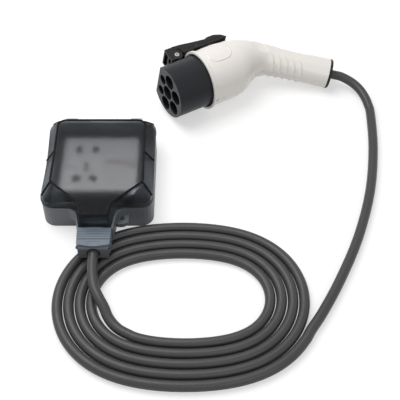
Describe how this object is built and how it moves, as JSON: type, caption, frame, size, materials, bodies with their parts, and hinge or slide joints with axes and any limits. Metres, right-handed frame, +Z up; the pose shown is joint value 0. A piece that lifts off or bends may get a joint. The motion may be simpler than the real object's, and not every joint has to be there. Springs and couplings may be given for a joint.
{
  "type": "vehicle-to-load adapter",
  "caption": "AC vehicle plug with a sprung latch lever and angled handle, a coiled flexible cable and a weatherproof socket box with a smoked hinged lid and a clip.",
  "frame": {"origin": "centre of the plug and the box together, seen from above, at the floor that both lie on", "axes": "+Z up off the floor, +X to the right of the picture, +Y away from its viewer"},
  "size_m": [0.3496, 0.4231, 0.067],
  "materials": {
    "nose_black": "satin",
    "shell_white": "gloss",
    "trim_black": "satin",
    "lever_black": "gloss",
    "tip_white": "gloss",
    "pin_metal": "polished",
    "screw_steel": "satin",
    "contact_brass": "satin",
    "cable_rubber": "satin",
    "seal_rubber": "matte",
    "box_grey": "satin",
    "lid_smoke": "satin",
    "clip_grey": "satin",
    "plate_light": "satin",
    "core_dark": "satin",
    "clamp_white": "satin",
    "lens_pink": "gloss"
  },
  "bodies": {
    "adapter": {"nose_block": "nose_black", "pin_earth": "pin_metal", "pin_live": "pin_metal", "pin_neutral": "pin_metal", "pin_signal_a": "pin_metal", "pin_signal_b": "pin_metal", "tip_earth": "tip_white", "tip_live": "trim_black", "tip_neutral": "trim_black", "body_half_near": "shell_white", "body_half_far": "shell_white", "end_ring": "trim_black", "handle_gland": "seal_rubber", "top_strip": "lever_black", "shell_screw_1": "screw_steel", "shell_screw_2": "screw_steel", "shell_screw_3": "screw_steel", "latch_bracket": "trim_black", "latch_pin": "screw_steel", "latch_spring": "screw_steel", "cord_lead": "cable_rubber", "cord_coil": "cable_rubber", "cord_tail": "cable_rubber", "box_base": "box_grey", "box_seal": "seal_rubber", "box_gland": "seal_rubber", "cord_clamp": "clamp_white", "clamp_screw_left": "screw_steel", "clamp_screw_right": "screw_steel", "hinge_pin_left": "screw_steel", "hinge_pin_right": "screw_steel", "clip_pin_left": "screw_steel", "clip_pin_right": "screw_steel", "socket_core": "core_dark", "socket_plate": "plate_light", "plate_screw_left": "screw_steel", "plate_screw_right": "screw_steel", "contact_live": "contact_brass", "contact_neutral": "contact_brass", "contact_earth": "contact_brass", "rocker_pin": "screw_steel"},
    "latch": {"latch_lever": "lever_black", "latch_hook": "trim_black", "hook_screw": "screw_steel"},
    "lid": {"lid": "lid_smoke"},
    "clip": {"clip": "clip_grey"},
    "rocker": {"rocker": "plate_light", "rocker_lens": "lens_pink"}
  },
  "joints": [
    {"name": "latch_pivot", "type": "hinge", "parent": "adapter", "child": "latch", "pos_m": [-0.00276, 0.1213, 0.04059], "axis": [-0.1458, 0.1541, -0.9772], "range_deg": [0, 3.5], "stiffness_Nm_per_rad": 0.4, "springref_deg": -17.19},
    {"name": "lid_hinge", "type": "hinge", "parent": "adapter", "child": "lid", "pos_m": [-0.098, 0.022, 0.024], "axis": [-1, 0, 0], "range_deg": [0, 100]},
    {"name": "clip_hinge", "type": "hinge", "parent": "adapter", "child": "clip", "pos_m": [-0.098, -0.14, 0.024], "axis": [1, 0, 0], "range_deg": [0, 40]},
    {"name": "rocker_pivot", "type": "hinge", "parent": "adapter", "child": "rocker", "pos_m": [-0.083, -0.046, 0.027], "axis": [-1, 0, 0], "range_deg": [0, 10]}
  ]
}
